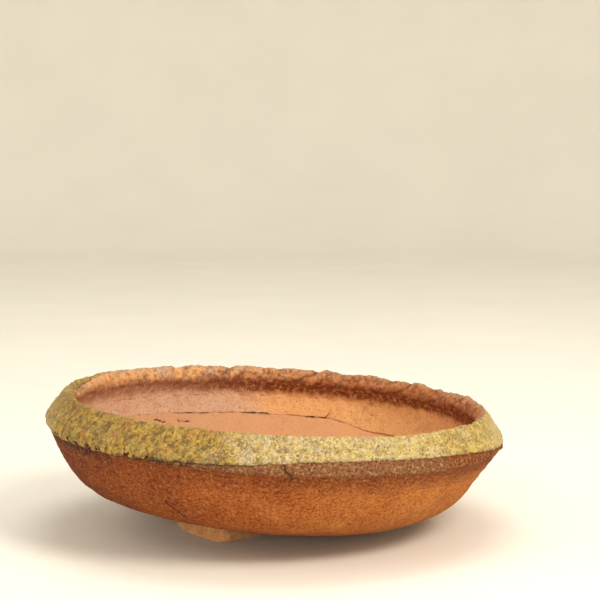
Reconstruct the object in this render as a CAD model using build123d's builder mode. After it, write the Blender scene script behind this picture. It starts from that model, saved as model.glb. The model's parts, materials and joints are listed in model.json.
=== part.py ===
from build123d import *
from math import cos, radians, sin
import os

# A round, hand-built bonsai pot of coarse brown clay: a slab floor, two courses of wall, a thick
# pinched rim with an ash-glaze crust over its outside, and three low clay pads as feet.
#
# Frame: millimetres, +Z up, origin on the ground under the middle of the pot. The fired bowl
# leans, so that its +X side is the low one. The bowl has its own plane, "bowl", square to its
# leaning axis, and heights and radii below are measured in that plane.

lean = 3.2              # degrees, down towards +X
lean_offset = -4.2      # where the bowl's axis meets the ground, so that the rim is centred on Z

base_height = 12.0      # underside of the floor, on the axis
floor_height = 24.0     # upper face of the floor slab, on which the wall stands
seam_height = 57.0      # lower and upper courses of the wall meet
rim_height = 70.0       # the rim coil sits on the wall
wall_shift = -2.0       # the belly is this much off the rim's centre

rim_inner_radius = 156.5
rim_foot_radius = 167.8  # outside, where the coil meets the wall
shoulder_radius = 170.4  # the widest place, just above the wall
shoulder_height = 73.5
crest_height = 94.8      # top of the rim coil's clay
crest_radius = 156.5

# The outside and the inside of the bowl below the rim: (height, radius, centre's shift along X).
outside = [
    (base_height, 84.0, 12.0),
    (15.0, 101.0, 9.0),
    (19.0, 117.0, 5.0),
    (floor_height, 131.0, 1.0),
    (31.0, 142.3, -1.0),
    (40.0, 150.2, wall_shift),
    (51.0, 157.2, wall_shift),
    (61.0, 163.2, -1.0),
    (rim_height, rim_foot_radius, 0.0),
]
inside = [
    (floor_height, 113.0, 0.0),
    (30.0, 128.0, -1.0),
    (39.0, 138.0, wall_shift),
    (51.0, 146.2, wall_shift),
    (61.0, 152.4, -1.0),
    (rim_height, rim_inner_radius, 0.0),
]

fold_radius = 150.0     # the rim's lip stands in over the wall
fold_height = 80.5      # and folds back under itself here
rim_seam = 225.0        # the coil's ends meet here, where the rim is smooth
sections = 90           # meridian sections round the rim
pinch_pitch = 12.0      # degrees from one thumb pinch to the next
pinch_start = 4.0
pinch_height = 1.3      # how far the crest rises and falls with them
pinch_depth = 1.6       # how far the inner lip goes in and out with them

slope_lean = 0.22       # above the shoulder the coil's outside leans in, and then rounds over
slope_rounding = 0.008  # per millimetre

glaze_thickness = 1.7
glaze_lip = 1.5         # the crust's feather edge over the crest
glaze_edge_height = 74.5
glaze_wander = 5.0      # the glaze's lower edge is highest at the front right and the back left
glaze_highest = -60.0   # degrees

drain_radius = 16.0
wire_hole_radius = 2.5
wire_hole_circle = 60.0  # radius of the circle of wiring holes
wire_hole_count = 3
wire_hole_start = 40.0  # degrees; the holes come between the feet

foot_angles = {"foot_front_left": 211.0, "foot_right": 0.0, "foot_back": 95.0}
foot_centre_x = 8.0     # the feet stand round this point on X
foot_inner, foot_outer = 31.0, 79.0
foot_inner_width, foot_outer_width = 54.0, 80.0
foot_bow = 4.0          # the outer edge is bowed out by this
foot_blank_height = 24.0
foot_corner = 10.0
foot_taper = 30.0       # degrees; the sides slope in from a wide footprint

bowl = Plane(
    origin=(lean_offset, 0, 0),
    x_dir=(cos(radians(lean)), 0, -sin(radians(lean))),
    z_dir=(sin(radians(lean)), 0, cos(radians(lean))),
)


def pinch(angle):
    """The wave of thumb pinches round the rim, -1 to 1, strongest opposite the coil's ends."""
    strength = (1 - cos(radians(angle - rim_seam))) / 2
    return strength * cos(radians(360 / pinch_pitch * (angle - pinch_start)))


def glaze_edge(angle):
    """Height of the glaze's lower edge."""
    turn = radians(angle - glaze_highest)
    return glaze_edge_height + glaze_wander * (0.3 * cos(turn) + cos(2 * turn))


def slope_radius(height):
    """Outer radius of the rim coil's clay on its slope below the shoulder."""
    above = max(0.0, height - shoulder_height)
    return shoulder_radius - slope_lean * above - slope_rounding * above**2


def meridian(angle):
    """The upright plane through the bowl's axis: its X is the radius, its Y the height."""
    out = bowl.x_dir * cos(radians(angle)) + bowl.y_dir * sin(radians(angle))
    return Plane(origin=bowl.origin, x_dir=out, z_dir=out.cross(bowl.z_dir))


def rim_section(angle):
    """Thick coil: it stands on the wall, bulges in as a lip and rolls over at the crest."""
    wave = pinch(angle)
    lip = fold_radius + pinch_depth * wave
    crest = crest_height + pinch_height * wave
    with BuildSketch(meridian(angle)) as sketch:
        with BuildLine():
            Spline(
                (rim_inner_radius, rim_height),
                (rim_inner_radius - 0.6, 76.0),
                (lip + 3.5, fold_height),
                (lip, 85.0),
                (lip + 0.2, 89.5),
                (lip + 2.6, 93.0),
                (crest_radius, crest),
                (160.3, 90.6),
                (164.4, 84.6),
                (168.3, 79.0),
                (shoulder_radius, shoulder_height),
                (rim_foot_radius, rim_height),
            )
            Line((rim_foot_radius, rim_height), (rim_inner_radius, rim_height))
        make_face()
    return sketch.sketch.face()


def glaze_section(angle):
    """A blank for the crust, from its lower edge up over the crest; the rim is cut from it."""
    crest = crest_height + glaze_thickness + pinch_height * pinch(angle)
    edge = glaze_edge(angle)
    with BuildSketch(meridian(angle)) as sketch:
        with BuildLine():
            Spline(
                (crest_radius - 2.5, crest - glaze_lip),
                (crest_radius, crest),
                (161.3, 91.6),
                (165.7, 86.0),
                (slope_radius(edge + 4) + glaze_thickness, edge + 4),
                (slope_radius(edge) + 0.3, edge),
            )
            Polyline(
                (slope_radius(edge) + 0.3, edge),
                (164.0, edge + 1.5),
                (158.0, 86.0),
                (crest_radius - 2.5, crest - glaze_lip),
            )
        make_face()
    return sketch.sketch.face()


def ring(section):
    """Closed loft round the bowl's axis through the section at each angle."""
    faces = [section(rim_seam + 360 * i / sections) for i in range(sections)]
    loft(sections=faces + faces[:1])


def bowl_loft(outline):
    """Loft upwards through the circles of an outline."""
    faces = []
    for height, radius, shift in outline:
        with BuildSketch(bowl.offset(height)) as circle:
            with Locations((shift, 0)):
                Circle(radius)
        faces.append(circle.sketch.face())
    loft(sections=faces)


# ---- the bowl below the rim, from which the floor and the two wall courses are cut ----

with BuildPart() as cavity:
    bowl_loft(inside)

with BuildPart() as shell:
    bowl_loft(outside)
    add(cavity.part, mode=Mode.SUBTRACT)

with BuildPart() as floor_slab:
    add(shell.part)
    split(bisect_by=bowl.offset(floor_height), keep=Keep.BOTTOM)
    with BuildSketch(bowl.offset(base_height)):
        Circle(drain_radius)
        with PolarLocations(wire_hole_circle, wire_hole_count, start_angle=wire_hole_start):
            Circle(wire_hole_radius)
    extrude(amount=floor_height - base_height, mode=Mode.SUBTRACT)

with BuildPart() as lower_wall:
    add(shell.part)
    split(bisect_by=bowl.offset(floor_height), keep=Keep.TOP)
    split(bisect_by=bowl.offset(seam_height), keep=Keep.BOTTOM)

with BuildPart() as upper_wall:
    add(shell.part)
    split(bisect_by=bowl.offset(seam_height), keep=Keep.TOP)

# ---- the pinched rim and the crust of ash glaze on its outside ----

with BuildPart() as rim_coil:
    ring(rim_section)

with BuildPart() as ash_glaze:
    ring(glaze_section)
    add(rim_coil.part, mode=Mode.SUBTRACT)
    add(upper_wall.part, mode=Mode.SUBTRACT)


# ---- feet: fan-shaped pads, flat on the ground and pressed up against the leaning floor ----

def foot(angle):
    """One pad with its wide end outwards, its top shaped by the floor that it carries."""
    ground = Plane(
        origin=(foot_centre_x, 0, 0), x_dir=(cos(radians(angle)), sin(radians(angle)), 0), z_dir=(0, 0, 1)
    )
    with BuildPart() as pad:
        with BuildSketch(ground) as outline:
            with BuildLine():
                Polyline(
                    (foot_outer - foot_bow, foot_outer_width / 2),
                    (foot_inner, foot_inner_width / 2),
                    (foot_inner, -foot_inner_width / 2),
                    (foot_outer - foot_bow, -foot_outer_width / 2),
                )
                ThreePointArc(
                    (foot_outer - foot_bow, -foot_outer_width / 2),
                    (foot_outer, 0),
                    (foot_outer - foot_bow, foot_outer_width / 2),
                )
            make_face()
            fillet(outline.vertices(), radius=foot_corner)
        extrude(amount=foot_blank_height, taper=foot_taper)
        with BuildSketch(bowl.offset(base_height)):
            Circle(2 * foot_outer)
        extrude(amount=2 * foot_blank_height, mode=Mode.SUBTRACT)
    return pad.part


pieces = {
    "floor_slab": floor_slab.part,
    "lower_wall": lower_wall.part,
    "upper_wall": upper_wall.part,
    "rim_coil": rim_coil.part,
    "ash_glaze": ash_glaze.part,
}
for name, angle in foot_angles.items():
    pieces[name] = foot(angle)

os.makedirs("parts", exist_ok=True)
for name, piece in pieces.items():
    piece.label = name
    export_step(piece, f"parts/{name}.step")
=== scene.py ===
import json
import math

import bpy
import numpy as np
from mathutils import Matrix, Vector
from mathutils.bvhtree import BVHTree


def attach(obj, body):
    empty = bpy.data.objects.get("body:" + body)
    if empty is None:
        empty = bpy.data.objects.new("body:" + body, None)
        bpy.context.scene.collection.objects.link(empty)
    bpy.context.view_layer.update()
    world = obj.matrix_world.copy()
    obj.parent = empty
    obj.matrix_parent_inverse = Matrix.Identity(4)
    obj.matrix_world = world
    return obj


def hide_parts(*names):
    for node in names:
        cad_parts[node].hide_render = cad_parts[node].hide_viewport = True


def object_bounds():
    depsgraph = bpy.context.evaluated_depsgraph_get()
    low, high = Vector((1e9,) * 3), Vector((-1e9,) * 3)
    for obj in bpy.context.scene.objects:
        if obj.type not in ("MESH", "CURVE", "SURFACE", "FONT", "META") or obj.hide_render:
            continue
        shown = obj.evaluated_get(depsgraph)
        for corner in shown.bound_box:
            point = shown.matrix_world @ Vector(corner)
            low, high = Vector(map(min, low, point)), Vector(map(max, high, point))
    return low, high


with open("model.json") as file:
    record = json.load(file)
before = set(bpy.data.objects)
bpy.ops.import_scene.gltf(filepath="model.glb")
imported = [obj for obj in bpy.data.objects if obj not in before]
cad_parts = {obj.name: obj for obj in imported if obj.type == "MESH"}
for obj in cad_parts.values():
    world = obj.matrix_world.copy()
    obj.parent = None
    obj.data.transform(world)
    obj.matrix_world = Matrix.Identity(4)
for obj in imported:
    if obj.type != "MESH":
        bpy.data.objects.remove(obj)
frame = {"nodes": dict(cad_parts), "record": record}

CAD_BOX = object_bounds()
MM = 0.001

# ----------------------------------
# The bowl's own axis. The fired bowl leans, and the drainage hole is square to it. Heights and
# radii below are in millimetres, up from the ground along this axis and out from it.
# ----------------------------------

drain = next(m for m in frame["record"]["mounts"] if m["name"] == "drainage_hole")
UP = -np.array(drain["axis"], float)
UP /= np.linalg.norm(UP)
ORIGIN = np.array(drain["pos_m"], float)
ORIGIN = ORIGIN - UP * (ORIGIN[2] / UP[2])
OUT_X = np.array([UP[2], 0.0, -UP[0]])
OUT_Y = np.array([0.0, 1.0, 0.0])


def outward(angle):
    """Unit vectors away from the axis; angles in degrees, 0 towards +X and 90 to the back."""
    a = np.radians(np.asarray(angle, float))
    return np.cos(a)[..., None] * OUT_X + np.sin(a)[..., None] * OUT_Y


def place(angle, radius, height):
    """Points of the row frame, in metres."""
    radius = np.asarray(radius, float)[..., None] * MM
    height = np.asarray(height, float)[..., None] * MM
    return ORIGIN + outward(angle) * radius + UP * height


def bowl_coordinates(points):
    """Angle, radius and height of points given in metres."""
    rel = points - ORIGIN
    x, y, h = rel @ OUT_X, rel @ OUT_Y, rel @ UP
    return np.degrees(np.arctan2(y, x)), np.hypot(x, y) / MM, h / MM


# ----------------------------------
# Reading the CAD pieces
# ----------------------------------


def numbers_of(mesh, name):
    """One of a mesh's vector values, "co" or "normal", for every vertex."""
    values = np.empty(len(mesh.vertices) * 3, np.float32)
    mesh.vertices.foreach_get(name, values)
    return values.reshape(-1, 3)


def vertices_of(node):
    """The points of a CAD piece, in metres."""
    return numbers_of(frame["nodes"][node].data, "co").astype(float)


def tree_of(*nodes):
    """One search tree over the surfaces of several CAD pieces."""
    points, faces = [], []
    for node in nodes:
        mesh = frame["nodes"][node].data
        start = len(points)
        points += [v.co.copy() for v in mesh.vertices]
        faces += [[start + i for i in p.vertices] for p in mesh.polygons]
    return BVHTree.FromPolygons(points, faces)


def height_range(node):
    """Lowest and highest point of a CAD piece, along the bowl's axis."""
    height = bowl_coordinates(vertices_of(node))[2]
    return height.min(), height.max()


def first_hit(tree, start, aim):
    """Where rays from start towards aim first meet the surface. Arrays of points, in metres."""
    flat_start, flat_aim = start.reshape(-1, 3), aim.reshape(-1, 3)
    found = np.empty_like(flat_start)
    for i, (a, b) in enumerate(zip(flat_start.tolist(), flat_aim.tolist())):
        a, b = Vector(a), Vector(b)
        hit = tree.ray_cast(a, b - a)[0]
        found[i] = hit if hit is not None else b
    return found.reshape(start.shape)


# ----------------------------------
# Noise, the same on every run
# ----------------------------------


def scramble(cell, seed):
    """A random number from 0 to 1 for each whole-number cell."""
    c = cell.astype(np.int64)
    n = (c[..., 0] * 73856093) ^ (c[..., 1] * 19349663) ^ (c[..., 2] * 83492791) ^ (seed * 9176351)
    n = (n ^ (n >> 13)) * 1274126177 & 0x7FFFFFFF
    n = (n ^ (n >> 15)) * 668265263 & 0x7FFFFFFF
    return ((n ^ (n >> 16)) & 0xFFFFF) / float(0xFFFFF)


def smooth_noise(points, size, seed=0):
    """Noise from -1 to 1 with lumps of about this size, in the unit of the points."""
    p = points / size
    base = np.floor(p)
    t = p - base
    t = t * t * t * (t * (t * 6 - 15) + 10)
    total = 0
    for dx in (0, 1):
        for dy in (0, 1):
            for dz in (0, 1):
                weight = (
                    (t[..., 0] if dx else 1 - t[..., 0])
                    * (t[..., 1] if dy else 1 - t[..., 1])
                    * (t[..., 2] if dz else 1 - t[..., 2])
                )
                total = total + weight * scramble(base + (dx, dy, dz), seed)
    return total * 2 - 1


def rough_noise(points, size, octaves=4, seed=0):
    """Several sizes of smooth noise laid over each other."""
    total, weight, whole = 0, 1.0, 0
    for i in range(octaves):
        total = total + weight * smooth_noise(points, size / 2**i, seed + 17 * i)
        whole += weight
        weight *= 0.55
    return total / whole * 1.6


def grains(points, size, seed=0):
    """Distance to the nearest of randomly placed grains, in sizes, and that grain's own number."""
    p = points / size
    base = np.floor(p)
    best = np.full(p.shape[:-1], 9.0)
    number = np.zeros(p.shape[:-1])
    for dx in (-1, 0, 1):
        for dy in (-1, 0, 1):
            for dz in (-1, 0, 1):
                cell = base + (dx, dy, dz)
                spot = cell + np.stack([scramble(cell, seed + k) for k in (1, 2, 3)], -1)
                distance = np.linalg.norm(p - spot, axis=-1)
                nearer = distance < best
                best = np.where(nearer, distance, best)
                number = np.where(nearer, scramble(cell, seed + 4), number)
    return best, number


def step(low, high, value):
    """A smooth rise from 0 at low to 1 at high, or a fall when low is the larger."""
    t = np.clip((value - low) / (high - low), 0, 1)
    return t * t * (3 - 2 * t)


def rounding(share, size):
    """How far a rounded edge of this size falls back; share is 0 where it starts and 1 at its end."""
    return size * (1 - np.sqrt(np.clip(1 - share**2, 0, 1)))


def turn_between(a, b):
    """Signed difference of two angles, in degrees, from -180 to 180."""
    return (np.asarray(a) - b + 180) % 360 - 180


# ----------------------------------
# Grids that close on themselves both ways: round the bowl, and round the piece's section
# ----------------------------------


def unit_normals(along, across, away):
    """Normals of a grid from its two directions, turned the way that `away` points."""
    n = np.cross(along, across)
    n /= np.maximum(np.linalg.norm(n, axis=-1, keepdims=True), 1e-12)
    return n if (away * n).sum() > 0 else -n


def normals_of(grid):
    """Outward normals of a closed grid of points, rows round the section, columns round the bowl."""
    along = np.roll(grid, -1, 1) - np.roll(grid, 1, 1)
    across = np.roll(grid, -1, 0) - np.roll(grid, 1, 0)
    return unit_normals(along, across, grid - grid.mean(0, keepdims=True))


def evenly(path, count):
    """Positions, as fractional indices, that cut a polyline of points into equal lengths."""
    length = np.r_[0, np.cumsum(np.linalg.norm(np.diff(path, axis=0), axis=1))]
    return np.interp(np.linspace(0, length[-1], count), length, np.arange(len(path)))


def kept_in_box(grid):
    """Round off whatever would stand out of the CAD model's box."""
    knee = 1.4 * MM  # the rounding starts this far inside
    out = grid.copy()
    for k in range(3):
        for sign, limit in ((-1, -CAD_BOX[0][k]), (1, CAD_BOX[1][k])):
            over = np.maximum(sign * out[..., k] - (limit - knee), 0)
            out[..., k] -= sign * (over - knee * (1 - np.exp(-over / knee)))
    return out


def new_object(name, data):
    """An object linked into the scene."""
    made = bpy.data.objects.new(name, data)
    bpy.context.scene.collection.objects.link(made)
    return made


def with_modifiers(piece):
    """A new mesh: the piece's own with its modifiers applied."""
    evaluated = piece.evaluated_get(bpy.context.evaluated_depsgraph_get())
    return bpy.data.meshes.new_from_object(evaluated)


def closed_mesh(name, grid, marks):
    """A mesh object from a closed grid; marks are numbers kept at each point for the material."""
    rows, columns = grid.shape[:2]
    index = np.arange(rows * columns).reshape(rows, columns)
    a, b = index, np.roll(index, -1, 1)
    c, d = np.roll(b, -1, 0), np.roll(a, -1, 0)
    faces = np.stack([a, b, c, d], -1).reshape(-1, 4)
    mesh = bpy.data.meshes.new(name)
    mesh.vertices.add(rows * columns)
    mesh.vertices.foreach_set("co", grid.astype(np.float32).ravel())
    mesh.loops.add(faces.size)
    mesh.loops.foreach_set("vertex_index", faces.astype(np.int32).ravel())
    mesh.polygons.add(len(faces))
    mesh.polygons.foreach_set("loop_start", np.arange(0, faces.size, 4, dtype=np.int32))
    mesh.update(calc_edges=True)
    mesh.validate()
    first, second, third = (grid.reshape(-1, 3)[faces[:, k]] for k in range(3))
    if (first * np.cross(second, third)).sum() < 0:  # a negative volume: the faces look inwards
        mesh.flip_normals()
    return finished(name, mesh, marks)


def finished(name, mesh, marks):
    """A smooth-shaded piece with its marks on the mesh."""
    for key, values in marks.items():
        mark = mesh.attributes.new(key, "FLOAT", "POINT")
        mark.data.foreach_set("value", np.asarray(values, np.float32).ravel())
    mesh.polygons.foreach_set("use_smooth", np.ones(len(mesh.polygons), bool))
    return new_object(name, mesh)


# ----------------------------------
# Surface relief, in millimetres outwards from the smooth clay
# ----------------------------------

FAR = 250.0  # a radius well outside the pot
COARSE_GRIT = 3.0  # spacing of the grains
FINE_GRIT = 2.0
CRACK_RADIUS = 158.0  # where degrees round the bowl are turned into millimetres along a crack
INNER_RING = 60.0  # what varies only round the bowl reads its noise on one of these two circles
OUTER_RING = 160.0


def grog(mm, seed=0):
    """Coarse grit in the clay: rounded grains that stand out, and small pits where some fell out."""
    near, number = grains(mm, COARSE_GRIT, seed)
    fine, fine_number = grains(mm, FINE_GRIT, seed + 50)
    bumps = np.clip(1 - near / 0.5, 0, 1) * (number > 0.55) * 0.30
    bumps += np.clip(1 - fine / 0.55, 0, 1) * (fine_number > 0.4) * 0.24
    pits = np.clip(1 - near / 0.42, 0, 1) * (number < 0.16) * 0.45
    return bumps - pits


def body_lumps(mm):
    """The slow unevenness of a wall beaten and scraped by hand."""
    slow = 0.55 * smooth_noise(mm, 46, 3) + 0.30 * smooth_noise(mm, 17, 5)
    return slow + 0.16 * rough_noise(mm, 7, 3, 7)


def crack(angle, height, route, width, depth, mm):
    """A split along a route of (angle, height) points: its depth at each place."""

    def along(at):
        return np.radians(turn_between(at, route[0][0])) * CRACK_RADIUS

    x = along(angle) + 0.5 * smooth_noise(mm, 3.0, 90)
    y = height + 0.4 * smooth_noise(mm, 2.0, 91)
    nearest = np.full(angle.shape, 1e3)
    for (a0, h0), (a1, h1) in zip(route, route[1:]):
        p = np.array([along(a0), h0])
        d = np.array([along(a1), h1]) - p
        t = np.clip(((x - p[0]) * d[0] + (y - p[1]) * d[1]) / (d @ d), 0, 1)
        nearest = np.minimum(nearest, np.hypot(x - p[0] - t * d[0], y - p[1] - t * d[1]))
    return depth * np.exp(-((nearest / width) ** 2))


# ----------------------------------
# The floor and the two courses of wall
# ----------------------------------

BODY = tree_of("floor_slab", "lower_wall", "upper_wall", "rim_coil")
PROFILES = 12  # a wall's shape is measured at this many places round it
EDGE_GAP = 0.02  # the skins of two pieces stay this far from the joint between them
JOINT_LAP = 1.3  # the wall's skin runs this far over the rim's lower corner
SEAM_EDGE = 0.9  # how far the lapped joint inside is rounded off
SEAM_DIP = 8.0  # the joint drops towards the right of the back
BORE_EDGE = 1.4  # rounding of the drainage hole's edges
# the drying cracks, each a route of (angle, height) points
CRACK_LOW = [(-117.5, 42), (-116.5, 38.5), (-114.5, 35), (-113.5, 31)]
NICKS_INSIDE = [
    [(73.2, 60.0), (74.0, 57.0)],
    [(131.5, 53), (127.5, 50.5)],
    [(123, 51), (118.5, 50)],
]
CRACK_RIM = [(-87.2, 77.5), (-86.8, 74), (-85.6, 71.5), (-85.2, 68)]


def wall_radius(angle, height, from_inside):
    """Radius of the clay below the rim, on its inner or outer face."""
    aim = place(angle, 0 * height, height)
    far = place(angle, 0 * height + FAR, height)
    hit = first_hit(BODY, aim, far) if from_inside else first_hit(BODY, far, aim)
    return np.linalg.norm(hit - aim, axis=-1) / MM


def seam_height(angle):
    """The inside joint runs a little up and down."""
    spot = outward(angle) * INNER_RING
    dip = step(76, 57, turn_between(angle, 0)) * step(5, 30, turn_between(angle, 0))
    return 0.9 * smooth_noise(spot, 22, 11) + 0.6 * smooth_noise(spot, 5, 12) - SEAM_DIP * dip


def seam_open(angle):
    """How open the lapped joint is: widest at the back, closed up towards the front."""
    spot = outward(angle) * INNER_RING
    back = step(60, 76, turn_between(angle, 0)) * step(130, 119, turn_between(angle, 0))
    return back * np.clip(0.6 + 0.5 * smooth_noise(spot, 7, 13), 0.15, 1) + 0.05


def rows_up_face(angles, low, high, rows, from_inside, probes=40):
    """Heights and radii of a wall's face, in rows that are evenly spaced along its curve."""
    probe = np.linspace(low, high, probes)
    few = angles[:: len(angles) // PROFILES]
    a, h = np.broadcast_arrays(few[None, :], probe[:, None])
    profile = np.stack([wall_radius(a, h, from_inside).mean(1), probe], 1)
    height = low + (high - low) * evenly(profile, rows) / (probes - 1)
    a, h = np.broadcast_arrays(angles[None, :], height[:, None])
    return h, wall_radius(a, h, from_inside)


def course(node, columns, outer_rows, inner_rows, joint_rows, below_seam):
    """One course of wall: up the outer face, over the top, down the inner face and underneath.

    Gives the points, their angles and heights, 0 to 1 from outside to inside, and the open joint.
    """
    low, high = height_range(node)
    low += EDGE_GAP
    high += -EDGE_GAP if below_seam else JOINT_LAP
    angles = np.arange(columns) * 360 / columns
    h_out, r_out = rows_up_face(angles, low, high, outer_rows, False)
    h_in, r_in = (rows[::-1] for rows in rows_up_face(angles, low, high, inner_rows, True))
    across = np.linspace(0, 1, joint_rows + 2)[1:-1, None]
    top_r = r_out[-1] + (r_in[0] - r_out[-1]) * across
    low_r = r_in[-1] + (r_out[0] - r_in[-1]) * across
    radius = np.concatenate([r_out, top_r, r_in, low_r])
    height = np.concatenate([h_out, 0 * top_r + high, h_in, 0 * low_r + low])
    angle = np.broadcast_to(angles, radius.shape)
    face = np.concatenate([0 * r_out, across + 0 * top_r, 1 + 0 * r_in, 1 - across + 0 * low_r])

    wander = seam_height(angle)
    share = (height - low) / (high - low)
    height = height + wander * (share if below_seam else 1 - share) ** 2 * face
    from_seam = height - (high if below_seam else low) - wander * face
    lip = rounding(np.clip(1 - np.abs(from_seam) / SEAM_EDGE, 0, 1), SEAM_EDGE) * seam_open(angle) * face
    radius = radius + lip
    if below_seam:
        height = height - 0.9 * step(low + 2.0, low, height) * face  # into the floor's fillet
    else:
        tuck = 0.45 * step(high - 0.7, high, height) - 0.08 * step(high - 2.5, high - 1.6, height)
        radius = radius + tuck * (2 * face - 1)
    return place(angle, radius, height), angle, height, face, lip


def make_wall(node, below_seam, **counts):
    """A course of gritty, lumpy clay: scraped outside, pebbly inside, with its drying cracks."""
    grid, angle, height, face, lip = course(node, below_seam=below_seam, **counts)
    mm = grid / MM
    grit = grog(mm)
    scrape = 0.22 * smooth_noise(np.stack([angle * 0.5, height, 0 * height], -1), 3.4, 21)
    lifted = 0.35 * face * np.exp(-((lip - 0.25) / 0.2) ** 2) * (lip > 0.02)
    pebbles = 0.75 * rough_noise(mm, 4.2, 3, 22) * face * step(44, 62, height)
    splits = crack(angle, height, CRACK_LOW, 0.55, 1.0, mm) * (1 - face)
    splits += crack(angle, height, CRACK_RIM, 0.5, 0.9, mm) * (1 - face)
    for route in NICKS_INSIDE:
        splits += crack(angle, height, route, 0.5, 0.8, mm) * face
    relief = body_lumps(mm) + grit * (1 - 0.45 * face) + scrape * (1 - face)
    relief = relief + lifted + pebbles - splits
    in_joint = (face > 0.0) & (face < 1.0)
    relief = np.where(in_joint, 0.2 * body_lumps(mm), relief)
    grid = grid + normals_of(grid) * relief[..., None] * MM
    marks = {"inside": face, "grit": grit, "split": np.clip(splits + 0.5 * lip, 0, 1), "level": height}
    return closed_mesh(node + "_fired", grid, marks)


def make_floor():
    """A slab grid round the drainage hole, with the wiring holes cut through it."""
    columns, edge_rows, top_rows = 540, 34, 60
    low, high = height_range("floor_slab")
    angles = np.arange(columns) * 360 / columns
    h_out, r_out = rows_up_face(angles, low + EDGE_GAP, high - EDGE_GAP, edge_rows, False, probes=60)
    near_rim = np.array([0.95, 0.75, 0.45, 0.2, 0.2, 0.45, 0.75, 0.95])[:, None]
    bore_h = np.linspace(high, low, len(near_rim))[:, None] + 0 * angles
    bore_r = drain["dims"]["r_mm"] + rounding(near_rim, BORE_EDGE) + 0 * angles
    inwards = np.linspace(0, 1, top_rows + 2)[1:-1, None]
    top_r = r_out[-1] + (bore_r[0] - r_out[-1]) * inwards
    low_r = bore_r[-1] + (r_out[0] - bore_r[-1]) * inwards[::2]
    radius = np.concatenate([r_out, top_r, bore_r, low_r])
    height = np.concatenate([h_out, 0 * top_r + high, bore_h, 0 * low_r + low])
    face = np.concatenate([0 * r_out, 1 + 0 * top_r, 1 + 0 * bore_r, 0 * low_r])
    angle = np.broadcast_to(angles, radius.shape)
    grid = place(angle, radius, height)
    mm = grid / MM
    grit = grog(mm)
    relief = body_lumps(mm) + grit * (1 - 0.5 * face)
    relief += 0.9 * step(96, 114, radius) * (face > 0.5)  # a soft fillet up to the wall
    grid = grid + normals_of(grid) * relief[..., None] * MM
    marks = {"inside": face, "grit": grit, "split": 0 * face, "level": height}
    return drilled(closed_mesh("floor_slab_fired", grid, marks), low - 6, high + 6)


def drilled(piece, low, high):
    """The piece with the wiring holes cut through it, where the CAD slab has them."""
    wires = next(m for m in frame["record"]["mounts"] if m["name"] == "wiring_holes")["dims"]
    circle, count, size = wires["pcd_mm"] / 2, wires["count"], wires["hole_r_mm"]
    angle, radius, _ = bowl_coordinates(vertices_of("floor_slab"))
    edges = angle[np.abs(radius - circle) < 1.5 * size]
    first = np.degrees(np.angle(np.exp(1j * np.radians(edges * count)).mean())) / count
    sides = 24
    turns = 2 * np.pi * np.arange(sides) / sides
    points, faces = [], []
    for k in range(count):
        middle = outward(first + 360 * k / count) * circle
        ring = middle + size * (np.cos(turns)[:, None] * OUT_X + np.sin(turns)[:, None] * OUT_Y)
        start = len(points)
        points += [ORIGIN + (p + UP * h) * MM for h in (low, high) for p in ring]
        bottom = [start + i for i in range(sides)]
        top = [i + sides for i in bottom]
        faces += [bottom[::-1], top]
        faces += [[bottom[i - 1], bottom[i], top[i], top[i - 1]] for i in range(sides)]
    mesh = bpy.data.meshes.new("drill")
    mesh.from_pydata(points, [], faces)
    drill = new_object("drill", mesh)
    cut = piece.modifiers.new("holes", "BOOLEAN")
    cut.operation, cut.object, cut.solver = "DIFFERENCE", drill, "EXACT"
    made = with_modifiers(piece)
    piece.modifiers.clear()
    piece.data = made
    bpy.data.objects.remove(drill)
    return piece


# ----------------------------------
# The rim: its section is walked round a point inside the coil
# ----------------------------------

RIM_LOW, RIM_TOP = height_range("rim_coil")
RIM_RADII = bowl_coordinates(vertices_of("rim_coil"))[1]
COIL_CENTRE = ((RIM_RADII.min() + RIM_RADII.max()) / 2 + 1.0, RIM_LOW + 10.0)
COIL_REACH = 40.0  # from the coil's centre to well outside it
RIM_TREE = tree_of("rim_coil")
CAD_WAVES = 30  # the CAD rim has this many even thumb pinches
GLAZE_BASE = 0.60  # thickness of the glaze between its lumps and pits
GLAZE_SUNK = 0.6  # the clay is set back this far under the glaze
GLAZE_UNDER = 0.9  # the glaze's own underside lies this far inside the coil's skin


def coil_skin(angle, around):
    """The coil's surface in the direction `around`, in degrees: 0 is outwards and 90 is up."""
    radius, height = COIL_CENTRE
    a = np.radians(around)
    centre = place(angle, radius + 0 * a, height + 0 * a)
    far = place(angle, radius + COIL_REACH * np.cos(a), height + COIL_REACH * np.sin(a))
    return first_hit(RIM_TREE, far, centre)


def even_turns(low, high, count):
    """Directions round the coil that are evenly spaced along its skin."""
    probe = np.linspace(low, high, 240)
    sections = []
    for angle in range(5, 360, 60):
        _, radius, height = bowl_coordinates(coil_skin(np.full(len(probe), float(angle)), probe))
        sections.append(np.stack([radius, height], 1))
    return np.interp(evenly(np.mean(sections, 0), count), np.arange(len(probe)), probe)


def without_waves(grid):
    """The coil with the CAD's even waves averaged out, half a wave to each side."""
    angle, radius, height = bowl_coordinates(grid)
    half_wave = round(grid.shape[1] / (2 * CAD_WAVES))

    def level(values):
        return (np.roll(values, half_wave, 1) + 2 * values + np.roll(values, -half_wave, 1)) / 4

    return place(angle, level(radius), level(height))


def fold_places():
    """Angles of the folds left between thumb pinches: closer together at the back right."""
    places, angle, turn = [], 101.0, 0
    while angle > -150:
        places.append(angle)
        turn += 1
        tight = math.exp(-(((angle - 36) / 22) ** 2))
        angle -= 12.8 - 5.0 * tight + 1.2 * math.sin(turn * 2.3)
    angle = 114.0
    while angle < 200:
        places.append(angle)
        turn += 1
        angle += 13.0 + 2.0 * math.sin(turn * 1.7)
    return places


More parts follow.
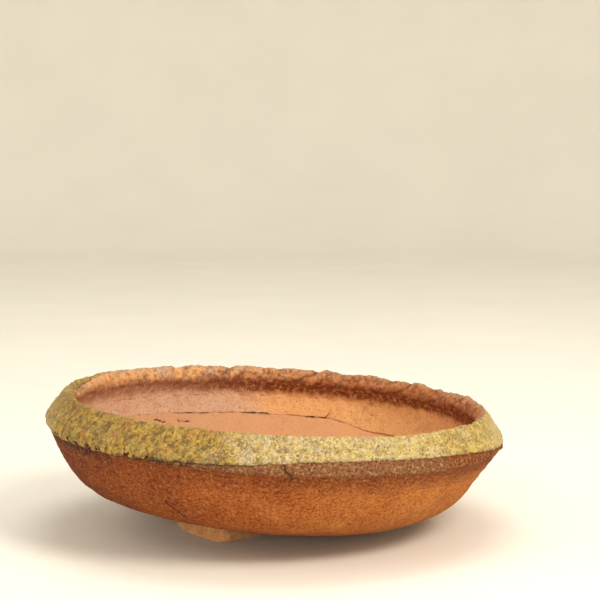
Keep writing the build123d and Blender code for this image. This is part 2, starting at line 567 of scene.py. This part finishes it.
def folds(angle, height):
    """The folds, the creases beside them and the hollows between, each from 0 to about 1."""
    spot = outward(angle) * INNER_RING
    slanted = angle + 0.40 * (height - RIM_TOP) + 2.6 * smooth_noise(spot, 6, 31)
    slanted = slanted + 1.5 * smooth_noise(np.stack([angle, height, 0 * height], -1), 4, 32)
    ridge, crease, hollow = 0, 0, 1e3
    for k, at in enumerate(fold_places()):
        offset = turn_between(slanted, at)
        strength = 0.20 + 0.65 * float(step(-0.15, 0.75, math.cos(math.radians(at - 45))))
        strength *= 0.80 + 0.35 * math.sin(k * 4.1)
        width = 2.3 + 0.6 * math.sin(k * 2.9)
        ridge = ridge + strength * np.exp(-((offset / width) ** 2))
        crease = crease + strength * np.exp(-(((offset - 1.3 * width) / 1.1) ** 2))
        hollow = np.minimum(hollow, np.abs(offset))
    return ridge, crease, np.clip(hollow / 6, 0, 1)


def make_rim():
    """The pinched coil: folded inside and over its crest, smoother outside and under the glaze."""
    columns = 1200
    rows = 72
    turns = even_turns(-140, 220, rows + 1)[:-1]  # the last direction is the first again
    angles = np.arange(columns) * 360 / columns
    angle, around = np.broadcast_arrays(angles[None, :], turns[:, None])
    grid = without_waves(coil_skin(angle, around))
    height = bowl_coordinates(grid)[2]
    mm = grid / MM
    full_turn = np.mod(around, 360)
    inside = step(86, 98, full_turn) * (1 - step(262, 266, full_turn))
    ridge, crease, hollow = folds(angle, height)
    upper = step(RIM_LOW + 7, RIM_LOW + 13, height)
    grit = grog(mm)
    fold = (1.3 * ridge - 1.1 * crease - 0.4 * hollow) * inside * upper
    fold += (1.1 * ridge - 0.4 * hollow) * step(70, 88, full_turn) * (1 - inside)
    lumps = body_lumps(mm) + 0.35 * smooth_noise(mm, 9, 33)
    lumps += (0.35 + 0.75 * upper) * rough_noise(mm, 5.5, 4, 34) * inside
    outer_lip = 0.9 * np.exp(-(((height - (RIM_LOW + 2.0)) / 1.6) ** 2)) * (1 - inside)
    splits = crack(angle, height, CRACK_RIM, 0.5, 1.0, mm) * (1 - inside)
    edge, stop = glaze_edge(turn_between(angles, 0)), glaze_stop(angles)
    signed = turn_between(around, 0)
    under_glaze = step(edge - 0.8, edge + 1.0, height) * step(stop - 2, stop - 8, signed)
    under_glaze *= signed > -100
    relief = lumps + fold + grit * (1 - 0.4 * inside) + outer_lip - splits - GLAZE_SUNK * under_glaze
    relief = np.where(height < RIM_LOW + 0.3, -0.2, relief)
    grid = kept_in_box(grid + normals_of(grid) * relief[..., None] * MM)
    marks = {
        "inside": inside,
        "grit": grit,
        "split": np.clip(splits, 0, 1),
        "level": height,
        # crease: where the inner creases lie, used for their painted shade
        "crease": np.clip(crease * inside * upper, 0, 1),
    }
    return closed_mesh("rim_coil_fired", grid, marks)


def glaze_edge(angles):
    """Lower edge of the glaze, read from the CAD crust, with small runs and breaks added."""
    angle, _, height = bowl_coordinates(vertices_of("ash_glaze"))
    spacing = 4.0
    bins = np.arange(-180, 180, spacing)
    lowest = np.array([height[np.abs(turn_between(angle, b)) < spacing].min() for b in bins])
    smooth = np.interp(angles, np.r_[bins, 180], np.r_[lowest, lowest[0]], period=360)
    spot = outward(angles) * OUTER_RING
    runs = 1.0 * smooth_noise(spot, 16, 41) + 0.9 * smooth_noise(spot, 6, 42)
    return smooth + runs + 0.5 * smooth_noise(spot, 2.6, 43)


def left_share(angles):
    """1 at the pot's left end, falling to 0 round it."""
    return np.exp(-((turn_between(angles, 180) / 30) ** 2))


def glaze_stop(angles):
    """How far over the crest the glaze reaches, in degrees round the coil."""
    spot = outward(angles) * OUTER_RING
    from_right = turn_between(angles, 0)
    right_end = np.exp(-(((from_right + 5) / 35) ** 2))
    front = step(0, 30, -from_right)
    back_right = step(2, 10, from_right) * step(130, 95, from_right)
    reach = 97 + 34 * left_share(angles) + 8 * right_end + 17 * front - 11 * back_right
    return reach + 4 * smooth_noise(spot, 8, 44) + 3 * smooth_noise(spot, 3, 48)


def glaze_start(angles, edge):
    """Where round the coil, in degrees, its skin reaches the height of the glaze's lower edge."""
    stride = 10  # columns that share one measured section
    probe = np.linspace(-85, 112, 120)
    rising_part = slice(0, 80)
    a, p = np.broadcast_arrays(angles[None, ::stride], probe[:, None])
    heights = bowl_coordinates(coil_skin(a, p))[2]
    start = np.empty(len(angles))
    for i in range(heights.shape[1]):
        rising = np.maximum.accumulate(heights[rising_part, i])
        shared = slice(i * stride, (i + 1) * stride)
        start[shared] = np.interp(edge[shared], rising, probe[rising_part])
    return start


def crust(mm):
    """Lumps and beads of the glaze in millimetres, and its pits and small pits from 0 to 1."""
    worms = 0.5 - np.abs(rough_noise(mm, 4.2, 3, 49))
    lumps = 0.50 * rough_noise(mm, 3.2, 3, 45) + 0.50 * worms + 0.22 * smooth_noise(mm, 13, 46)
    near, number = grains(mm, 2.6, 47)
    beads = np.clip(1 - near / 0.5, 0, 1) ** 0.7 * (number > 0.45) * 0.40
    near, number = grains(mm, 5.4, 60)
    pits = np.clip(1 - near / 0.22, 0, 1) ** 0.6 * (number > 0.68)
    near, number = grains(mm, 2.3, 64)
    small_pits = np.clip(1 - near / 0.34, 0, 1) * (number > 0.66)
    return lumps + beads, pits, small_pits


def make_glaze():
    """The crust: a rough coat on the coil, thick where it gathered and rounded at its lower edge."""
    columns, rows = 1320, 50
    angles = np.arange(columns) * 360 / columns
    start = glaze_start(angles, glaze_edge(turn_between(angles, 0)))
    stop = glaze_stop(angles)
    around = start + (stop - start) * np.linspace(0, 1, rows)[:, None]
    angle = np.broadcast_to(angles, around.shape)
    core = without_waves(coil_skin(angle, around))
    normal = normals_of_sheet(core)
    mm = core / MM
    height = bowl_coordinates(core)[2]
    path = np.cumsum(np.linalg.norm(np.diff(core, axis=0, prepend=core[:1]), axis=-1), 0) / MM
    to_crest = path[-1] - path
    from_edge, from_crest = np.clip(path / 2.0, 0, 1), np.clip(to_crest / 3.5, 0, 1)
    body = np.sqrt(1 - (1 - from_edge) ** 2) * np.sqrt(1 - (1 - from_crest) ** 2)
    bumps, pits, small_pits = crust(mm)
    gather = 0.4 * np.exp(-(((path - 3.0) / 2.4) ** 2))
    thickness = GLAZE_BASE + bumps + gather - 1.2 * pits - 0.6 * small_pits
    thickness = np.maximum(thickness, 0.25) * body + 0.02
    ridge, _, hollow = folds(angle, height)
    thickness += body_lumps(mm) + (1.1 * ridge - 0.4 * hollow) * step(70, 88, around)
    splits = crack(angle, height, CRACK_RIM, 0.5, 1.0, mm)
    outside = kept_in_box(core + normal * (thickness - splits)[..., None] * MM)
    under = core[::-1][2:-2:4] - normal[::-1][2:-2:4] * GLAZE_UNDER * MM
    pad = np.zeros(under.shape[:2])
    edge_width = 4.5 + 7 * left_share(angles)
    marks = {
        "pit": np.clip(pits + 0.5 * small_pits + splits, 0, 1),
        # the lumps' height, which the colour turns into painted shade in the hollows and painted
        # highlight on the lumps
        "height": step(-0.5, 1.1, bumps),
        "edge": 1 - step(0.0, edge_width, path),
        "crest": 1 - step(0.3, 2.4, to_crest),
    }
    marks = {name: np.concatenate([values, pad]) for name, values in marks.items()}
    return closed_mesh("ash_glaze_crust", np.concatenate([outside, under]), marks)


def normals_of_sheet(grid):
    """Outward normals of a strip that is closed round the bowl but open across."""
    along = np.roll(grid, -1, 1) - np.roll(grid, 1, 1)
    across = np.gradient(grid, axis=0)
    angles = np.arange(grid.shape[1]) * 360 / grid.shape[1]
    return unit_normals(along, across, grid - place(angles, *COIL_CENTRE))


# ----------------------------------
# Feet: pads of clay pressed on, rounded by hand
# ----------------------------------

FLOOR_LOW = height_range("floor_slab")[0]
PAD_MESH = 0.9  # size of a foot's mesh cells


def make_foot(node):
    """A pad with softened edges and fine grit, grooved where it meets the floor and flat below."""
    piece = new_object(node + "_cad", frame["nodes"][node].data.copy())
    remesh = piece.modifiers.new("even", "REMESH")
    remesh.mode = "VOXEL"
    remesh.voxel_size = PAD_MESH * MM
    smooth = piece.modifiers.new("rounded", "SMOOTH")
    smooth.factor, smooth.iterations = 0.6, 14
    made = with_modifiers(piece)
    bpy.data.objects.remove(piece)
    points, normal = numbers_of(made, "co").astype(float), numbers_of(made, "normal")
    mm = points / MM
    grit = 0.6 * grog(mm, 5)
    relief = 0.7 * smooth_noise(mm, 16, 71) + 0.3 * smooth_noise(mm, 6, 72) + grit
    below_floor = FLOOR_LOW - bowl_coordinates(points)[2]
    relief -= 1.3 * np.exp(-((below_floor / 1.3) ** 2))  # a groove where the pad meets the floor
    points = points + normal * relief[:, None] * MM
    points[:, 2] = np.maximum(points[:, 2], 0.0)
    made.vertices.foreach_set("co", points.astype(np.float32).ravel())
    made.name = node + "_fired"
    near_ground = np.exp(-points[:, 2] / (2.5 * MM))
    # joint: where the pad meets the floor, for its painted shadow; low: near the ground, for its painted
    # highlight
    marks = {"joint": step(2.6, 0.6, below_floor), "low": near_ground}
    return finished(node + "_fired", made, marks)


# ----------------------------------
# Materials
# ----------------------------------


class Graph:
    """Short names for the shader nodes that the materials are built from."""

    def __init__(self, name):
        self.material = bpy.data.materials.new(name)
        self.material.use_nodes = True
        self.tree = self.material.node_tree
        self.tree.nodes.clear()
        self.position = self.add("ShaderNodeTexCoord").outputs["Object"]

    def add(self, kind, **settings):
        node = self.tree.nodes.new(kind)
        for key, value in settings.items():
            setattr(node, key, value)
        return node

    def feed(self, socket, value):
        if isinstance(value, bpy.types.NodeSocket):
            self.tree.links.new(value, socket)
        elif isinstance(value, tuple) and len(value) == 3 and socket.type == "RGBA":
            socket.default_value = (*value, 1.0)
        else:
            socket.default_value = value

    def math(self, operation, a, b=0.0, c=0.0):
        node = self.add("ShaderNodeMath", operation=operation)
        for socket, value in zip(node.inputs, (a, b, c)):
            self.feed(socket, value)
        return node.outputs[0]

    def times(self, a, b):
        return self.math("MULTIPLY", a, b)

    def strayed(self, value, noise, amount):
        """The value pushed up and down by a noise, so that what is read from it has ragged edges."""
        return self.math("ADD", value, self.times(self.math("SUBTRACT", noise, 0.5), amount))

    def mix(self, factor, a, b, blend="MIX"):
        node = self.add("ShaderNodeMix", data_type="RGBA", blend_type=blend)
        self.feed(node.inputs["Factor"], factor)
        self.feed(node.inputs[6], a)
        self.feed(node.inputs[7], b)
        return node.outputs[2]

    def range(self, value, low, high, to_low=0.0, to_high=1.0):
        node = self.add("ShaderNodeMapRange", interpolation_type="SMOOTHSTEP")
        for socket, given in zip(node.inputs, (value, low, high, to_low, to_high)):
            self.feed(socket, given)
        return node.outputs[0]

    def noise(self, size_mm, detail=4.0, rough=0.55):
        node = self.add("ShaderNodeTexNoise")
        node.inputs["Scale"].default_value = 1 / (size_mm * MM)
        node.inputs["Detail"].default_value = detail
        node.inputs["Roughness"].default_value = rough
        self.feed(node.inputs["Vector"], self.position)
        return node.outputs[0]

    def specks(self, size_mm, rarity, start, full):
        """Round specks in a few of the cells of this size, 1 in their middles and 0 between them.

        Each cell has a random number, and those above the rarity have a speck. The other two are
        distances from the speck's middle, in cells: where it starts and where it is full.
        """
        cells = self.add("ShaderNodeTexVoronoi", feature="F1")
        cells.inputs["Scale"].default_value = 1 / (size_mm * MM)
        self.feed(cells.inputs["Vector"], self.position)
        number = self.add("ShaderNodeSeparateColor")
        self.feed(number.inputs[0], cells.outputs["Color"])
        chosen = self.range(number.outputs[0], rarity, rarity + 0.04)
        return self.times(chosen, self.range(cells.outputs[0], start, full))

    def mark(self, name):
        """A number that the mesh keeps at each point."""
        return self.add("ShaderNodeAttribute", attribute_name=name).outputs["Fac"]

    def axis(self, name):
        node = self.add("ShaderNodeSeparateXYZ")
        self.feed(node.inputs[0], self.position)
        return node.outputs[name]

    def bump(self, height, distance_mm, strength=1.0, onto=None):
        node = self.add("ShaderNodeBump")
        node.inputs["Strength"].default_value = strength
        node.inputs["Distance"].default_value = distance_mm * MM
        self.feed(node.inputs["Height"], height)
        if onto is not None:
            self.feed(node.inputs["Normal"], onto)
        return node.outputs[0]

    def surface(self, color, roughness, normal, specular):
        shader = self.add("ShaderNodeBsdfPrincipled")
        self.feed(shader.inputs["Base Color"], color)
        self.feed(shader.inputs["Roughness"], roughness)
        self.feed(shader.inputs["Normal"], normal)
        shader.inputs["Specular IOR Level"].default_value = specular
        output = self.add("ShaderNodeOutputMaterial")
        self.tree.links.new(shader.outputs[0], output.inputs["Surface"])
        return self.material


def clay_grain(g, color, dark, light, amount=1.0):
    """Speckle of fired grit: a dense fine mottle, a few pale grains of grog and dark iron specks."""
    fine = g.noise(1.9, 3.0, 0.8)
    color = g.mix(g.range(fine, 0.50, 0.36, 0.0, 0.75 * amount), color, dark)
    color = g.mix(g.range(fine, 0.52, 0.68, 0.0, 0.65 * amount), color, light)
    pale_grog = g.specks(2.1, 0.84, 0.30, 0.18)
    color = g.mix(g.times(pale_grog, 0.45 * amount), color, light)
    iron = g.specks(2.7, 0.84, 0.26, 0.14)
    return g.mix(g.times(iron, 0.7 * amount), color, dark)


def outside_color(g, x, level):
    """Burnt dark and reddish on the low-X side, orange on the other, darker up under the rim. The dark
    low-X side is partly burnt colour and partly painted shade on the side away from the key light.
    """
    burnt, brown, orange = (0.150, 0.029, 0.007), (0.320, 0.083, 0.017), (0.470, 0.160, 0.036)
    red_brown, flame, under_rim = (0.28, 0.075, 0.021), (0.54, 0.225, 0.055), (0.180, 0.042, 0.011)
    across = g.math("ADD", x, g.times(g.math("SUBTRACT", g.noise(38, 3.0), 0.5), 0.14))
    # partly painted shade: the low-X side, away from the key light, is painted darker as well as burnt
    color = g.mix(g.range(across, -0.15, -0.01), burnt, brown)
    color = g.mix(g.range(across, -0.01, 0.11), color, orange)
    color = g.mix(g.range(g.noise(15, 4.0), 0.45, 0.68, 0.0, 0.4), color, red_brown)
    warm = g.times(g.range(g.noise(24, 3.0), 0.50, 0.72, 0.0, 0.35), g.range(across, -0.08, 0.0))
    color = g.mix(warm, color, flame)
    ragged = g.strayed(level, g.noise(13, 4.0), 14.0)
    color = g.mix(g.range(ragged, 54.0, 67.0, 0.0, 0.85), color, under_rim)
    ragged = g.strayed(level, g.noise(6, 4.0), 5.0)
    color = g.mix(g.range(ragged, 69.0, 72.5), color, strip_color(g, across))
    smoked = g.times(g.range(ragged, 60.5, 67.0), g.range(across, -0.085, -0.135))
    return g.mix(g.times(smoked, 0.85), color, (0.050, 0.016, 0.008))


def strip_color(g, across):
    """The bare strip between the wall and the glaze: black to brown, with a dust of ash."""
    black, brown, red = (0.045, 0.013, 0.005), (0.185, 0.072, 0.030), (0.18, 0.044, 0.011)
    strip = g.mix(g.range(across, -0.10, 0.0), black, brown)
    strip = g.mix(g.range(across, 0.09, 0.14), strip, red)
    ash = g.times(g.range(g.noise(2.2, 3.0, 0.7), 0.54, 0.66), 0.45)
    return g.mix(ash, strip, (0.50, 0.36, 0.17))


def low_inside_color(g, across):
    """Salmon floor and lower wall."""
    salmon, warm_salmon, cloud = (0.58, 0.310, 0.165), (0.62, 0.31, 0.145), (0.56, 0.25, 0.13)
    color = g.mix(g.range(across, -0.10, 0.06), salmon, warm_salmon)
    return g.mix(g.range(g.noise(18, 4.0), 0.42, 0.70, 0.0, 0.35), color, cloud)


def lip_color(g, across):
    """The pinched lip: orange to brown, grey in patches, blotted dark."""
    lip = g.mix(g.range(across, -0.10, 0.10), (0.70, 0.360, 0.140), (0.42, 0.155, 0.053))
    grey = g.times(g.range(g.noise(11, 4.0), 0.44, 0.60), g.range(across, 0.06, -0.02, 0.25, 0.8))
    lip = g.mix(grey, lip, (0.47, 0.31, 0.205))
    blots = g.range(g.noise(5, 5.0, 0.7), 0.46, 0.60)
    blots = g.times(blots, g.range(across, -0.10, 0.0, 0.5, 0.9))
    return g.mix(blots, lip, (0.220, 0.068, 0.027))


def high_inside_color(g, across, level):
    """Pink to orange above the joint, painted brown shade at the far right where the rim shades the
    wall, a red-brown stain in the fold with painted shadow under it, and the lip over it.
    """
    pink, orange, brown = (0.61, 0.375, 0.245), (0.73, 0.375, 0.150), (0.42, 0.15, 0.050)
    cloud, stain_and_shade_color, worn_top = (0.48, 0.20, 0.10), (0.190, 0.050, 0.020), (0.33, 0.27, 0.17)
    color = g.mix(g.range(across, -0.06, 0.03), pink, orange)
    # painted shade: the far right of the inner wall, where the rim shades it, is painted brown
    color = g.mix(g.range(across, 0.125, 0.17), color, brown)
    color = g.mix(g.range(g.noise(13, 4.0), 0.45, 0.68, 0.0, 0.35), color, cloud)
    ragged = g.strayed(level, g.noise(9, 4.0), 10.0)
    color = g.mix(g.range(ragged, 80.0, 87.0), color, lip_color(g, across))
    # partly painted shadow under the fold's overhang, partly a red-brown smoke stain
    stain_and_shade = g.times(g.range(ragged, 70.0, 77.5), g.range(ragged, 89.0, 83.0))
    stain_and_shade = g.times(stain_and_shade, g.range(across, -0.16, 0.02, 0.45, 1.0))
    stain_and_shade = g.times(stain_and_shade, g.range(g.noise(3.5, 4.0, 0.7), 0.36, 0.52, 0.45, 1.0))
    color = g.mix(stain_and_shade, color, stain_and_shade_color)
    return g.mix(g.times(g.range(level, 92.5, 95.5), 0.55), color, worn_top)


def inside_color(g, x, level, below_seam):
    across = g.math("ADD", x, g.times(g.math("SUBTRACT", g.noise(45, 3.0), 0.5), 0.12))
    return low_inside_color(g, across) if below_seam else high_inside_color(g, across, level)


def clay_material(name, below_seam=False, rim=False):
    """Brown stoneware, coloured outside and inside by its place on the bowl."""
    g = Graph(name)
    x, level, inside, grit = g.axis("X"), g.mark("level"), g.mark("inside"), g.mark("grit")
    color = g.mix(inside, outside_color(g, x, level), inside_color(g, x, level, below_seam))
    dark = g.mix(1.0, color, (0.30, 0.22, 0.18), "MULTIPLY")
    light = g.mix(0.34, color, (0.86, 0.46, 0.15))
    grain_share = g.range(inside, 0.0, 1.0, 1.0, 0.22 if below_seam else 0.5)
    color = g.mix(grain_share, color, clay_grain(g, color, dark, light))
    if rim:
        # painted shade: the creases beside the rim's inner folds are darkened
        color = g.mix(g.times(g.mark("crease"), 0.7), color, (0.13, 0.040, 0.020))
    pit_share = g.range(inside, 0.0, 1.0, 0.8, 0.35 if below_seam else 0.6)
    color = g.mix(g.times(g.range(grit, -0.08, -0.25), pit_share), color, (0.10, 0.035, 0.018))
    color = g.mix(g.range(grit, 0.08, 0.30, 0.0, 0.35), color, light)
    color = g.mix(g.range(g.mark("split"), 0.06, 0.55, 0.0, 0.92), color, (0.050, 0.020, 0.012))
    roughness = g.range(g.noise(5), 0.3, 0.7, 0.78, 0.94)
    fine = g.bump(g.noise(1.0, 4.0, 0.65), 0.40, 0.9)
    normal = g.bump(g.noise(2.4, 3.0), 0.7, 0.7, fine)
    return g.surface(color, roughness, normal, specular=0.14)


def foot_material():
    """The same clay without slip or smoke: paler, smoother, with a painted highlight in greyish lilac
    along its lower edges and painted shadow where it meets the floor.
    """
    g = Graph("foot_clay_bare")
    tan, pale = (0.70, 0.310, 0.115), (0.80, 0.42, 0.18)
    shaded, lilac_highlight = (0.42, 0.17, 0.07), (0.60, 0.46, 0.42)
    color = g.mix(g.range(g.noise(14, 4.0), 0.35, 0.65), tan, pale)
    facet = g.range(g.math("ADD", g.axis("X"), g.times(g.noise(6), 0.02)), -0.030, -0.024)
    color = g.mix(g.times(facet, 0.45), color, shaded)
    # painted highlight: greyish lilac along the lower edge, near the ground
    color = g.mix(g.range(g.mark("low"), 0.70, 1.0, 0.0, 0.6), color, lilac_highlight)
    dark = g.mix(1.0, color, (0.36, 0.26, 0.20), "MULTIPLY")
    color = clay_grain(g, color, dark, (0.82, 0.60, 0.36), 0.6)
    # painted shadow in the gap where the pad meets the floor
    color = g.mix(g.times(g.mark("joint"), 0.85), color, (0.070, 0.028, 0.014))
    roughness = g.range(g.noise(6), 0.3, 0.7, 0.74, 0.9)
    return g.surface(color, roughness, g.bump(g.noise(1.2, 4.0, 0.6), 0.3, 0.7), specular=0.25)


def melted_color(g, x, across, patch):
    """The olive melt, darker in its thin hollows and paler on its thick lumps, part glaze colour and
    part painted shade and highlight, greener in places, pale at the ends.
    """
    left_to_right = g.range(across, -0.06, 0.05)
    low = g.mix(left_to_right, (0.175, 0.100, 0.016), (0.33, 0.215, 0.045))
    middle = g.mix(left_to_right, (0.400, 0.238, 0.024), (0.570, 0.392, 0.085))
    high = g.mix(left_to_right, (0.54, 0.350, 0.055), (0.64, 0.475, 0.150))
    height = g.strayed(g.mark("height"), g.noise(1.6, 4.0, 0.7), 0.7)
    # part glaze colour, part painted light: painted shade in the thin hollows and painted highlight on
    # the lumps
    color = g.mix(g.range(height, 0.05, 0.50), low, middle)
    color = g.mix(g.range(height, 0.45, 1.05), color, high)
    green = g.times(g.range(g.noise(8, 4.0), 0.50, 0.64), 0.45)
    color = g.mix(green, color, (0.36, 0.31, 0.085))
    ends = g.range(g.math("ADD", g.math("ABSOLUTE", x), g.times(patch, 0.05)), 0.145, 0.172)
    ends = g.times(ends, g.range(x, -0.05, 0.05, 0.35, 0.65))
    color = g.mix(ends, color, (0.60, 0.49, 0.25))
    rust = g.range(g.noise(10, 4.0, 0.6), 0.52, 0.64)
    rust = g.times(rust, g.range(across, 0.02, -0.06, 0.15, 0.6))
    return g.mix(rust, color, (0.36, 0.150, 0.030))


def crystals(g, across, y):
    """Where the glaze crystallised: patches on the front, right of the middle."""
    right_of_middle = g.times(g.range(across, -0.05, 0.0), g.range(across, 0.135, 0.10))
    on_front = g.times(right_of_middle, g.range(y, 0.0, -0.07))
    return g.times(on_front, g.range(g.noise(3.6, 5.0, 0.75), 0.40, 0.64))


def glaze_edges(g, color, x, y, across):
    """Thin and bare over the crest, burnt along the lower edge, more so to the left, with painted shade
    in dark brown at its far left end.
    """
    bare = g.range(g.mark("crest"), 0.35, 1.0, 0.0, 0.75)
    color = g.mix(g.times(bare, g.range(y, 0.0, 0.06, 0.1, 1.0)), color, (0.50, 0.27, 0.12))
    edge = g.mark("edge")
    burnt = g.times(edge, g.range(g.noise(3.5, 4.0), 0.36, 0.58))
    burnt = g.times(burnt, g.range(across, 0.0, -0.10, 0.55, 1.0))
    # painted shade: the far left end of the lower edge, in shadow, is painted dark brown
    far_left_shade = g.times(edge, g.range(x, -0.12, -0.165, 0.0, 0.8))
    color = g.mix(far_left_shade, color, (0.20, 0.105, 0.030))
    return g.mix(g.range(burnt, 0.25, 0.75, 0.0, 0.9), color, (0.075, 0.030, 0.011))


def glaze_material():
    """Ash glaze: mustard olive where it ran, with painted shade in its hollows and painted highlight on
    its lumps, paler at both ends, cream where it crystallised at the front, rusty where it is thin, with
    pale flecks and painted glints, dark pits, and a burnt lower edge with painted shade at its far left
    end."""
    g = Graph("ash_glaze_olive")
    x, y = g.axis("X"), g.axis("Y")
    patch = g.math("SUBTRACT", g.noise(20, 4.0), 0.5)
    across = g.math("ADD", x, g.times(patch, 0.14))
    color = melted_color(g, x, across, patch)
    color = g.mix(g.times(crystals(g, across, y), 0.8), color, (0.58, 0.50, 0.33))
    color = glaze_edges(g, color, x, y, across)
    color = g.mix(g.range(g.mark("pit"), 0.2, 0.8, 0.0, 0.85), color, (0.060, 0.036, 0.016))
    color = g.mix(g.times(g.specks(1.7, 0.86, 0.34, 0.20), 0.6), color, (0.12, 0.065, 0.02))
    shade = g.mix(1.0, color, (0.56, 0.45, 0.24), "MULTIPLY")
    # partly painted glints: pale flecks of the glaze, made stronger towards the right
    flecks_and_glints = g.range(g.noise(1.6, 3.0, 0.7), 0.54, 0.66)
    flecks_and_glints = g.times(flecks_and_glints, g.range(across, -0.07, 0.0, 0.25, 0.8))
    color = g.mix(flecks_and_glints, color, (0.80, 0.65, 0.33))
    color = g.mix(g.range(g.noise(1.7, 3.0, 0.75), 0.50, 0.37, 0.0, 0.95), color, shade)
    color = g.mix(g.range(g.noise(3.0, 4.0, 0.75), 0.46, 0.34, 0.0, 0.7), color, shade)
    roughness = g.range(g.noise(3.0, 4.0), 0.35, 0.65, 0.38, 0.70)
    return g.surface(color, roughness, g.bump(g.noise(1.4, 4.0, 0.7), 0.9, 1.3), specular=0.45)


def plain_material(name, color, roughness):
    """A dull paint, very slightly uneven."""
    g = Graph(name)
    tone = g.mix(g.range(g.noise(180, 3.0), 0.3, 0.7), color, tuple(0.97 * c for c in color))
    return g.surface(tone, roughness, g.bump(g.noise(2.0), 0.02, 0.2), specular=0.3)


# ----------------------------------
# Put the pot together
# ----------------------------------


def dress(piece, node, material):
    """Gives a piece its material, puts it under the root body, and hides the CAD piece it stands for."""
    piece.data.materials.clear()
    piece.data.materials.append(material)
    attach(piece, "root")
    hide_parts(node)


low_clay = clay_material("low_clay_fired", below_seam=True)
wall_clay = clay_material("wall_clay_fired")
rim_clay = clay_material("rim_clay_fired", rim=True)
foot_clay = foot_material()
glaze = glaze_material()

dress(make_floor(), "floor_slab", low_clay)
lower = make_wall("lower_wall", True, columns=840, outer_rows=38, inner_rows=42, joint_rows=4)
dress(lower, "lower_wall", low_clay)
upper = make_wall("upper_wall", False, columns=1100, outer_rows=17, inner_rows=17, joint_rows=3)
dress(upper, "upper_wall", wall_clay)
dress(make_rim(), "rim_coil", rim_clay)
dress(make_glaze(), "ash_glaze", glaze)
for node in ("foot_front_left", "foot_right", "foot_back"):
    dress(make_foot(node), node, foot_clay)


# ----------------------------------
# Stage, light and camera
# ----------------------------------


def make_stage():
    """A pale round floor that curves up into a wall all round, so every view is clean."""
    ground, reach, curve, tall = CAD_BOX[0].z, 3.4, 0.9, 3.6
    sides, curve_steps = 96, 16
    flat = reach - curve
    profile = [(0.0001, ground), (flat, ground)]  # (radius, height)
    for i in range(1, curve_steps + 1):
        a = math.radians(90 * i / curve_steps)
        profile.append((flat + curve * math.sin(a), ground + curve * (1 - math.cos(a))))
    profile.append((reach, ground + tall))
    turns = [2 * math.pi * k / sides for k in range(sides)]
    points = [(r * math.cos(t), r * math.sin(t), z) for r, z in profile for t in turns]
    faces = []
    for i in range(len(profile) - 1):
        for k in range(sides):
            a, b = i * sides + k, i * sides + (k + 1) % sides
            faces.append((a, b, b + sides, a + sides))
    mesh = bpy.data.meshes.new("stage_floor")
    mesh.from_pydata(points, [], faces)
    mesh.polygons.foreach_set("use_smooth", np.ones(len(faces), bool))
    floor = new_object("stage_floor", mesh)
    mesh.materials.append(plain_material("stage_paint", (0.88, 0.84, 0.75), 0.75))


def area_light(name, place_m, aim_m, size, watts, color):
    """A round soft light, in metres, that faces the point aim_m."""
    data = bpy.data.lights.new(name, "AREA")
    data.shape = "DISK"
    data.size, data.energy, data.color = size, watts, color
    lamp = new_object(name, data)
    lamp.location = place_m
    lamp.rotation_mode = "QUATERNION"
    lamp.rotation_quaternion = (Vector(aim_m) - Vector(place_m)).to_track_quat("-Z", "Y")


def make_lights():
    """A warm key from the front right, weaker lights low in front, left and above, and a pale sky."""
    centre = (CAD_BOX[0] + CAD_BOX[1]) / 2
    area_light("key", (1.05, -1.0, 1.35), centre, 0.8, 23.0, (1.0, 0.95, 0.87))
    area_light("front", (-0.30, -2.5, 0.42), centre, 1.0, 19.0, (1.0, 0.96, 0.90))
    area_light("left", (-1.5, -0.6, 1.0), centre, 1.4, 7.0, (1.0, 0.97, 0.93))
    area_light("top", (0.1, 0.4, 1.8), centre, 1.2, 10.0, (1.0, 0.98, 0.95))
    world = bpy.data.worlds.new("studio")
    bpy.context.scene.world = world
    world.use_nodes = True
    background = world.node_tree.nodes["Background"]
    background.inputs["Color"].default_value = (1.0, 0.97, 0.92, 1.0)
    background.inputs["Strength"].default_value = 0.78


def make_camera():
    """Well back with a long lens, eleven degrees above the pot, and aimed over it at the backdrop."""
    data = bpy.data.cameras.new("camera")
    data.lens, data.sensor_width = 105.1, 36.0
    data.clip_start, data.clip_end = 0.05, 50.0
    camera = new_object("camera", data)
    camera.location = (0.019, -1.300, 0.306)
    camera.rotation_euler = (math.radians(90 - 6.04), 0, 0)
    bpy.context.scene.camera = camera


make_stage()
make_lights()
make_camera()
bpy.context.scene.view_settings.view_transform = "Standard"
